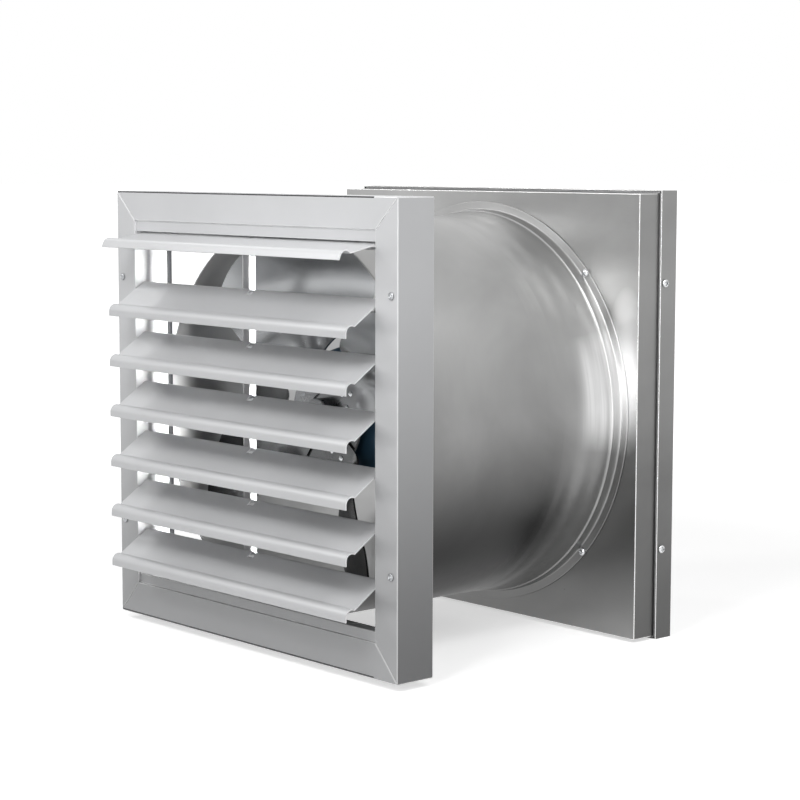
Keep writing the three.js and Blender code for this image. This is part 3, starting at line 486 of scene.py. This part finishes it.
# ------------------------------------------------------------------ duct and its spun flare
# Millimetres: radii from the duct's axis, and depths behind the shutter's front face.
TUBE_R = 180.0
TUBE_WALL = 1.2
TUBE_FRONT, TUBE_BACK = 42.6, 287.2
FLARE_START, FLARE_END = 196.0, 273.2
FLARE_RISE, FLARE_CURVE = 3.4, 3
FLARE_CLEAR, RING_CLEAR = 0.02, 0.01  # from the tube to the sheet's outside and inside
SPIN_WAVE, SPIN_DEPTH, SPIN_ONSET = 22.0, 0.16, 4  # shallow rings left by the spinning
CREST_Y, CREST_RADIUS, CREST_OUT = 275.2, 1.15, 0.15
CREST_SPAN = (-70, 62)  # degrees, from straight outwards
HOLLOW_CURVE = 1.6
RING_FLAT_FROM, RING_EDGE, RING_EDGE_ROUND = 186.2, 193.0, 0.5
RING_FACE, RING_BACK = 284.2, 285.7
LIP_STEPS, FLARE_STEPS, CREST_STEPS, HOLLOW_STEPS, RIM_STEPS, TURN_STEPS = 8, 40, 10, 10, 4, 256


def flare_radius(t):
    """Outside of the duct from the start of its flare, t = 0, to the crest, t = 1."""
    wave = math.sin(t * (FLARE_END - FLARE_START) / SPIN_WAVE * 2 * math.pi)
    spun = SPIN_DEPTH * wave * smoothstep(t * SPIN_ONSET)
    return TUBE_R + FLARE_CLEAR + FLARE_RISE * t ** FLARE_CURVE + spun


def duct_profile():
    """The duct's wall, with a rounded lip at its front."""
    half = TUBE_WALL / 2
    lip = arc(TUBE_R - half, TUBE_FRONT + half, half, 180, 360, LIP_STEPS)
    return [(TUBE_R - TUBE_WALL, TUBE_BACK)] + lip + [(TUBE_R, TUBE_BACK)]


def ring_profile():
    """The flare, its crest, the hollow behind it and the flat rim that carries the screws."""
    flare = [(flare_radius(i / FLARE_STEPS), FLARE_START + (FLARE_END - FLARE_START) * i / FLARE_STEPS)
             for i in range(FLARE_STEPS + 1)]
    crest = arc(flare[-1][0] + CREST_OUT, CREST_Y, CREST_RADIUS, *CREST_SPAN, CREST_STEPS)
    start_r, start_y = crest[-1]
    hollow = []
    for i in range(1, HOLLOW_STEPS + 1):
        t = i / HOLLOW_STEPS
        hollow.append((start_r + (RING_FLAT_FROM - start_r) * t ** HOLLOW_CURVE,
                       start_y + (RING_FACE - start_y) * math.sin(t * math.pi / 2)))
    rim = arc(RING_EDGE - RING_EDGE_ROUND, RING_FACE + RING_EDGE_ROUND, RING_EDGE_ROUND,
              -90, 0, RIM_STEPS)
    inside = TUBE_R + RING_CLEAR
    rest = [(RING_EDGE, RING_BACK), (inside, RING_BACK), (inside, FLARE_START)]
    return flare + crest + hollow + rim + rest


def faces_axis(face):
    """Whether a face looks towards the duct's axis."""
    to_axis = around(0, 0, 0) - face.center
    to_axis.y = 0
    return face.normal.dot(to_axis.normalized()) > 0.5


bm = bmesh.new()
lathe(bm, duct_profile(), TURN_STEPS, around(0, 0, 0))
duct = piece("duct_shell", bm, "duct", "housing", "duct_tube")
# The duct's inside is a lighter copy of its steel: painted light.
refinish(duct.data, "duct_inside_lit", faces_axis)

bm = bmesh.new()
lathe(bm, ring_profile(), TURN_STEPS, around(0, 0, 0))
piece("duct_flare_ring", bm, "duct", "housing", "flange_ring")

# ------------------------------------------------------------------ dark strips, strips of painted shade, and a seal
FRAME_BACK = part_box("frame_left_stile")[1].y
BOTTOM_LIP, TOP_LIP = 0.031, 0.027  # from the cross rails' outer edges to the shutter's opening
OPENING_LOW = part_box("frame_bottom_rail")[0].z + BOTTOM_LIP
OPENING_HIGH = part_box("frame_top_rail")[1].z - TOP_LIP
OPENING_STRIP, OPENING_STRIP_WIDTH = 0.0018, 0.0045
OPENING_STRIP_WRAP, OPENING_STRIP_FOLD = 0.0034, 0.0009  # depth and thickness of its lap on the stiles' inner walls

# Black strips round the opening, on the frame's back edge and lapped round its inner corner.
strip_back = FRAME_BACK + OPENING_STRIP
bm = bmesh.new()
for side in (-1, 1):
    x = side * INNER_X
    bar(bm, (x, FRAME_BACK, OPENING_LOW), (x + side * OPENING_STRIP_WIDTH, strip_back, OPENING_HIGH))
    bar(bm, (x - side * OPENING_STRIP_FOLD, FRAME_BACK - OPENING_STRIP_WRAP, OPENING_LOW), (x, strip_back, OPENING_HIGH))
for z in (OPENING_LOW - OPENING_STRIP_WIDTH, OPENING_HIGH):
    bar(bm, (-INNER_X, FRAME_BACK, z), (INNER_X, strip_back, z + OPENING_STRIP_WIDTH))
piece("opening_black_strip", bm, "plastic", "housing", sharp=50)

# Thin black strips along the outer edges of the two cross rails: painted shade where the rails' edges turn
# away into shade.
SHADE_STRIP, SHADE_STRIP_RISE = 0.0012, 0.0008  # its height, and the lower one's place over the frame's edge
SHADE_STRIP_FROM, SHADE_STRIP_TO = (-0.1985, FRONT - 0.00015), (0.1705, FRONT + 0.0004)  # x and y
for name, z in (("top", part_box("frame_top_rail")[1].z - SHADE_STRIP),
                ("bottom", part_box("frame_bottom_rail")[0].z + SHADE_STRIP_RISE)):
    bm = bmesh.new()
    bar(bm, (*SHADE_STRIP_FROM, z), (*SHADE_STRIP_TO, z + SHADE_STRIP))
    piece(f"edge_shade_strip_{name}", bm, "plastic", "housing", sharp=50)

# Grey seal in the gap where the room tray slips over the wall tray.
SEAL_INSET, SEAL_DEPTH, TRAY_SHEET, SEAL_CLEAR = 0.0004, 0.003, 0.0012, 0.0001
low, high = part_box("wall_tray")
lip_low, lip_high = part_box("room_tray")
front = lip_low.y + SEAL_INSET
back = front + SEAL_DEPTH
room = TRAY_SHEET + SEAL_CLEAR
bm = bmesh.new()
for side in (-1, 1):
    bar(bm, (side * (high.x + SEAL_CLEAR), front, low.z), (side * (lip_high.x - room), back, high.z))
bar(bm, (low.x, front, lip_low.z + room), (high.x, back, low.z - SEAL_CLEAR))
bar(bm, (low.x, front, high.z + SEAL_CLEAR), (high.x, back, lip_high.z - room))
seal = piece("tray_gap_seal", bm, "plastic", "housing", sharp=50)
seal.data.materials[0] = MATS["seal"]

# ------------------------------------------------------------------ fasteners
# Millimetres: the head's radius and height, and the shank's radius.
HEADS = {"rivet": (3.2, 1.7, 1.6), "cross": (3.7, 2.4, 1.9)}
RIVET_LENGTH, PANEL_SCREW_LENGTH, FLANGE_SCREW_LENGTH = 3.4, 9, 11
GROOVE_DEPTH, MANDREL_DEPTH = 0.55, 0.16  # a rivet's groove, and its mandrel inside it

# Parts of the head's radius, and of its height for CROSS_FLOOR.
HEAD_SPAN = 0.93  # how much of its dome's half width a head takes
GROOVE_AT, GROOVE_WIDTH, MANDREL_TO = 0.36, 0.09, 0.3
CROSS_ARM, CROSS_SLOT, CROSS_FLOOR = 0.62, 0.15, 0.35

# Metres: a rivet's seat before the frame's face, and a screw's behind the end of its CAD head.
RIVET_SEAT, SCREW_SEAT = 0.0003, 0.0024


def frame_at(origin, outward):
    """Matrix whose +Z points outward, in metres."""
    z = Vector(outward).normalized()
    x = Vector((0, 0, 1)).cross(z)
    x = x.normalized() if x.length > 1e-4 else Vector((1, 0, 0))
    m = Matrix((x, z.cross(x), z)).transposed().to_4x4()
    m.translation = origin
    return m


def head_rise(kind, x, y, radius, height):
    """A head's height over its seat: 'rivet' has a pulled mandrel, 'cross' a cross recess."""
    out = math.hypot(x, y) / radius
    rise = height * math.sqrt(1 - (out * HEAD_SPAN) ** 2)
    if kind == "rivet":
        rise -= GROOVE_DEPTH * math.exp(-((out - GROOVE_AT) / GROOVE_WIDTH) ** 2)
        if out < MANDREL_TO:
            rise -= MANDREL_DEPTH
    elif kind == "cross":
        small, large = sorted((abs(x), abs(y)))
        if small < radius * CROSS_SLOT and large < radius * CROSS_ARM:
            rise = min(rise, height * CROSS_FLOOR)
    return rise


def head_mesh(bm, matrix, radius, height, kind, rings=14, steps=48):
    """A domed head, closed by its seat."""
    def rise(x, y):
        return head_rise(kind, x, y, radius, height)

    rows = [circle(bm, matrix, radius * i / rings, steps, rise) for i in range(1, rings + 1)]
    rows.append(circle(bm, matrix, radius, steps, lambda x, y: 0))
    for a, b in zip(rows, rows[1:]):
        bridge(bm, a, b)
    bm.faces.new(rows[-1])
    centre = bm.verts.new(matrix @ Vector((0, 0, rise(0, 0) * MM)))
    for j in range(steps):
        bm.faces.new((centre, rows[0][j], rows[0][(j + 1) % steps]))


def shank(bm, matrix, radius, length, steps=16):
    """A round bar from a matrix's origin inwards."""
    top = circle(bm, matrix, radius, steps, lambda x, y: 0)
    low = circle(bm, matrix, radius, steps, lambda x, y: -length)
    bridge(bm, top, low)
    bm.faces.new(top)
    bm.faces.new(list(reversed(low)))


def fastener(name, kind, origin, outward, length, spin, node):
    """A rivet or screw in place of a CAD node; spin turns its head, in degrees."""
    radius, height, shank_radius = HEADS[kind]
    bm = bmesh.new()
    matrix = frame_at(origin, outward) @ Matrix.Rotation(math.radians(spin), 4, "Z")
    head_mesh(bm, matrix, radius, height, kind)
    shank(bm, matrix, shank_radius, length)
    return piece(name, bm, "screw", "housing", node, sharp=40)


for side, hand in ((-1, "left"), (1, "right")):
    for up, height in ((1, "upper"), (-1, "lower")):
        key = f"{height}_{hand}"
        low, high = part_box(f"stile_rivet_{key}")
        centre = (low + high) / 2
        rivet = fastener(f"rivet_{key}", "rivet", Vector((centre.x, FRONT - RIVET_SEAT, centre.z)),
                         (0, -1, 0), RIVET_LENGTH, 0, f"stile_rivet_{key}")
        rivet.data.materials[0] = MATS["rivet"]
        low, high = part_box(f"side_screw_{key}")
        centre = (low + high) / 2
        end = high.x if side > 0 else low.x
        fastener(f"panel_screw_{key}", "cross", Vector((end - side * SCREW_SEAT, centre.y, centre.z)),
                 (side, 0, 0), PANEL_SCREW_LENGTH, 20 + 25 * up + 10 * side, f"side_screw_{key}")
        low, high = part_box(f"ring_screw_{key}")
        centre = (low + high) / 2
        fastener(f"flange_screw_{key}", "cross", Vector((centre.x, low.y + SCREW_SEAT, centre.z)),
                 (0, -1, 0), FLANGE_SCREW_LENGTH, 33 * side + 15 * up, f"ring_screw_{key}")

# ------------------------------------------------------------------ impeller blades
BLADES = 4
BLADE_ROWS, BLADE_COLUMNS = 40, 26
BLADE_HALF = 0.8  # half the sheet's thickness
HUB_Y = 90.0  # depth of the hub's plate
PLATE_GAP = 1.1  # from the hub's plate to the middle of the sheet
TIP_GAP = 4.3
FAN_ROOT, FAN_PLATE, FAN_TIP = 22, 48, TUBE_R - TUBE_WALL - TIP_GAP  # radii; flat up to FAN_PLATE
ROOT_WIDTH, TIP_WIDTH, TIP_CORNER = 26, 138, 26
EDGE_ANGLE, SWEEP, PITCH = -33, 17, 31  # degrees, of the first blade's leading edge and of each blade
WIDENING, SWEEP_CURVE, CORNER_CURVE, TWIST_SPAN = 1.3, 1.6, 4, 0.25
WIDEST_TURN = 2  # radians that a blade's sheet may take up
HUB_RIVETS = ((0.07, 0.3), (0.07, 0.75), (0.14, 0.5))  # along and across a blade
HUB_RIVET_RADIUS, HUB_RIVET_HEIGHT, HUB_RIVET_SEAT = 2.6, 1.4, 1.9


def fan_point(number, u, v):
    """A point in the middle of a blade's sheet: u from root to tip, v from its leading edge."""
    corner = TIP_CORNER * abs(2 * v - 1) ** CORNER_CURVE
    radius = FAN_ROOT + (FAN_TIP - corner - FAN_ROOT) * u
    out = (radius - FAN_ROOT) / (FAN_TIP - FAN_ROOT)
    width = ROOT_WIDTH + (TIP_WIDTH - ROOT_WIDTH) * smoothstep(out * WIDENING)
    edge = math.radians(EDGE_ANGLE + 360 / BLADES * number - SWEEP * out ** SWEEP_CURVE)
    angle = edge - v * min(width / radius, WIDEST_TURN)
    twist = smoothstep((radius - FAN_PLATE) / (FAN_TIP * TWIST_SPAN))
    lean = (v - 0.5) * width * math.tan(math.radians(PITCH)) * twist
    return Vector((radius * math.cos(angle), HUB_Y - PLATE_GAP + lean, radius * math.sin(angle)))


def fan_normal(grid, i, j):
    """Across the sheet, from the points beside one."""
    down = grid[min(i + 1, BLADE_ROWS)][j] - grid[max(i - 1, 0)][j]
    across = grid[i][min(j + 1, BLADE_COLUMNS)] - grid[i][max(j - 1, 0)]
    return down.cross(across).normalized()


def blade_mesh(number):
    """A blade's two sides and the rim between them."""
    rows, columns = range(BLADE_ROWS + 1), range(BLADE_COLUMNS + 1)
    grid = [[fan_point(number, i / BLADE_ROWS, j / BLADE_COLUMNS) for j in columns] for i in rows]
    bm = bmesh.new()
    front, back = ([[bm.verts.new(around(*(grid[i][j] + fan_normal(grid, i, j) * half)))
                     for j in columns] for i in rows] for half in (-BLADE_HALF, BLADE_HALF))
    for i in rows[:-1]:
        for j in columns[:-1]:
            bm.faces.new((front[i][j + 1], front[i + 1][j + 1], front[i + 1][j], front[i][j]))
            bm.faces.new((back[i][j], back[i + 1][j], back[i + 1][j + 1], back[i][j + 1]))
    border = ([(i, 0) for i in rows] + [(BLADE_ROWS, j) for j in columns[1:]]
              + [(i, BLADE_COLUMNS) for i in reversed(rows[:-1])]
              + [(0, j) for j in reversed(columns[1:-1])])
    bridge(bm, [front[i][j] for i, j in border], [back[i][j] for i, j in border])
    return bm


for number in range(BLADES):
    piece(f"impeller_blade_{number + 1}", blade_mesh(number), "blade", "impeller",
          f"fan_blade_{number + 1}", sharp=40)

# Rivets that hold the blades' roots on the hub's plate.
bm = bmesh.new()
for number in range(BLADES):
    for u, v in HUB_RIVETS:
        point = fan_point(number, u, v)
        seat = frame_at(around(point.x, HUB_Y - HUB_RIVET_SEAT, point.z), (0, -1, 0))
        head_mesh(bm, seat, HUB_RIVET_RADIUS, HUB_RIVET_HEIGHT, "plain", rings=6, steps=20)
piece("hub_rivets", bm, "screw", "impeller")

# ------------------------------------------------------------------ room-side guard
# Millimetres: depths run from the side that lies on the room tray into the room.
GUARD_CENTRE = Vector((0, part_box("room_guard")[0].y, AXIS_Z))
GUARD_RINGS, GUARD_INNER, GUARD_STEP, GUARD_OUTER = 14, 30, 12, 186
RING_WIRE, RING_DEPTH, RING_SIDES, RING_STEPS = 1.25, 4.5, 10, 128
SPOKES, SPOKE_WIRE, SPOKE_DEPTH, SPOKE_LENGTH = 6, 1.7, 1.8, 158

bm = bmesh.new()
for i in range(GUARD_RINGS):
    radius = GUARD_INNER + GUARD_STEP * i
    wire = arc(radius, RING_DEPTH, RING_WIRE, 0, 360 - 360 / RING_SIDES, RING_SIDES - 1)
    lathe(bm, wire, RING_STEPS, GUARD_CENTRE)
for i in range(SPOKES):
    angle = math.radians(360 / SPOKES * i)
    outward = Vector((math.cos(angle), 0, math.sin(angle)))
    tip = GUARD_CENTRE + (Vector((0, SPOKE_DEPTH, 0)) + outward * GUARD_OUTER) * MM
    shank(bm, frame_at(tip, outward), SPOKE_WIRE, SPOKE_LENGTH, steps=12)
piece("guard_wires", bm, "wire", "housing", "room_guard")

# ------------------------------------------------------------------ stage, light and camera
FLOOR_SIZE = 30
FLOOR_WHITE, FLOOR_UNSEEN = (0.90, 0.90, 0.90, 1), (0.30, 0.30, 0.30, 1)
FLOOR_GLOW = 0.55  # near the object, where its shadow falls
SHADOW_REACH = (0.55, 1.5)  # metres from the middle, between which the floor turns plain white
WORLD_LIGHT = 0.30


def sees_white(tree):
    """1 for camera, glossy and transmission rays, which see the white backdrop."""
    path = tree.nodes.new("ShaderNodeLightPath")
    last = path.outputs["Is Camera Ray"]
    for name in ("Is Glossy Ray", "Is Transmission Ray"):
        either = tree.nodes.new("ShaderNodeMath")
        either.operation = "MAXIMUM"
        tree.links.new(last, either.inputs[0])
        tree.links.new(path.outputs[name], either.inputs[1])
        last = either.outputs[0]
    return last


def floor_material():
    """White that glows more away from the object, and throws little light back onto it."""
    m = Nodes("floor_white")
    m.tree.nodes.remove(m.shader)
    away = m.add("ShaderNodeVectorMath", operation="LENGTH")
    m.link(m.add("ShaderNodeTexCoord").outputs["Object"], away.inputs[0])
    glow = m.add("ShaderNodeEmission")
    m.link(m.map_range(away.outputs["Value"], *SHADOW_REACH, FLOOR_GLOW), glow.inputs["Strength"])
    white = m.add("ShaderNodeAddShader")
    m.link(m.add("ShaderNodeBsdfDiffuse", Color=FLOOR_WHITE).outputs[0], white.inputs[0])
    m.link(glow.outputs[0], white.inputs[1])
    both = m.add("ShaderNodeMixShader")
    m.link(sees_white(m.tree), both.inputs[0])
    m.link(m.add("ShaderNodeBsdfDiffuse", Color=FLOOR_UNSEEN).outputs[0], both.inputs[1])
    m.link(white.outputs[0], both.inputs[2])
    m.link(both.outputs[0], m.tree.nodes["Material Output"].inputs[0])
    return m.material


bm = bmesh.new()
bmesh.ops.create_grid(bm, x_segments=2, y_segments=2, size=FLOOR_SIZE)
mesh = bpy.data.meshes.new("floor")
bm.to_mesh(mesh)
bm.free()
mesh.materials.append(floor_material())
floor = bpy.data.objects.new("floor", mesh)
bpy.context.scene.collection.objects.link(floor)

# The world lights the object evenly, and is white where it is seen or mirrored.
world = bpy.data.worlds.new("studio")
bpy.context.scene.world = world
world.use_nodes = True
tree = world.node_tree
tree.nodes.clear()
blend = tree.nodes.new("ShaderNodeMixShader")
tree.links.new(sees_white(tree), blend.inputs[0])
for socket, strength in ((1, WORLD_LIGHT), (2, 1.0)):
    sky = tree.nodes.new("ShaderNodeBackground")
    sky.inputs["Color"].default_value = (1, 1, 1, 1)
    sky.inputs["Strength"].default_value = strength
    tree.links.new(sky.outputs[0], blend.inputs[socket])
tree.links.new(blend.outputs[0], tree.nodes.new("ShaderNodeOutputWorld").inputs[0])


def softbox(name, at, look, size, watts, spread=180):
    """A rectangular lamp at a point, turned to another, in metres."""
    light = bpy.data.lights.new(name, "AREA")
    light.shape = "RECTANGLE"
    light.size, light.size_y = size
    light.energy = watts
    light.spread = math.radians(spread)
    obj = bpy.data.objects.new(name, light)
    obj.location = at
    obj.rotation_euler = (Vector(look) - Vector(at)).to_track_quat("-Z", "Y").to_euler()
    bpy.context.scene.collection.objects.link(obj)
    return obj


softbox("key", at=(-1.0, -1.25, 1.15), look=(0, -0.12, 0.28), size=(0.35, 0.35), watts=5.3)
softbox("front", at=(0.3, -0.85, 1.0), look=(0.1, -0.15, 0.28), size=(0.5, 0.35), watts=5)
softbox("side", at=(0.80, -0.26, 0.90), look=(0.18, -0.1, 0.3), size=(0.3, 0.4), watts=1.8)
softbox("rear", at=(0.75, 0.05, 1.1), look=(0.1, 0.1, 0.3), size=(0.6, 0.3), watts=2)
softbox("strip", at=(0.75, -1.3, 0.42), look=(0.15, 0.1, 0.25), size=(0.22, 0.5), watts=3.5)

# Small lamps for the louvres' ends, and for the inside of the shutter's opening.
softbox("louvre_ends", at=(-1.0, -0.2, 1.2), look=(0, -0.17, 0.2), size=(0.035, 0.035), watts=1.0)
opening = softbox("opening", at=(0.165, FRONT + 0.03, MID), look=(-INNER_X, FRONT + 0.03, MID),
                  size=(0.016, 0.31), watts=0.15, spread=14)
opening.visible_camera = False

CAMERA_AT = design(1498.3, -1150.7, 231.0)
LENS, SENSOR = 96.5, 36  # millimetres
AZIMUTH, ELEVATION, ROLL = (math.radians(angle) for angle in (48.387, 6.399, 0.104))

camera_data = bpy.data.cameras.new("camera")
camera_data.lens = LENS
camera_data.sensor_width = SENSOR
camera = bpy.data.objects.new("camera", camera_data)
bpy.context.scene.collection.objects.link(camera)
back = Vector((math.sin(AZIMUTH) * math.cos(ELEVATION), -math.cos(AZIMUTH) * math.cos(ELEVATION),
               math.sin(ELEVATION)))
level = Vector((math.cos(AZIMUTH), math.sin(AZIMUTH), 0))
upright = back.cross(level)
right = math.cos(ROLL) * level + math.sin(ROLL) * upright
up = math.cos(ROLL) * upright - math.sin(ROLL) * level
place = Matrix((right, up, back)).transposed().to_4x4()
place.translation = CAMERA_AT
camera.matrix_world = place
bpy.context.scene.camera = camera
bpy.context.scene.view_settings.view_transform = "Standard"
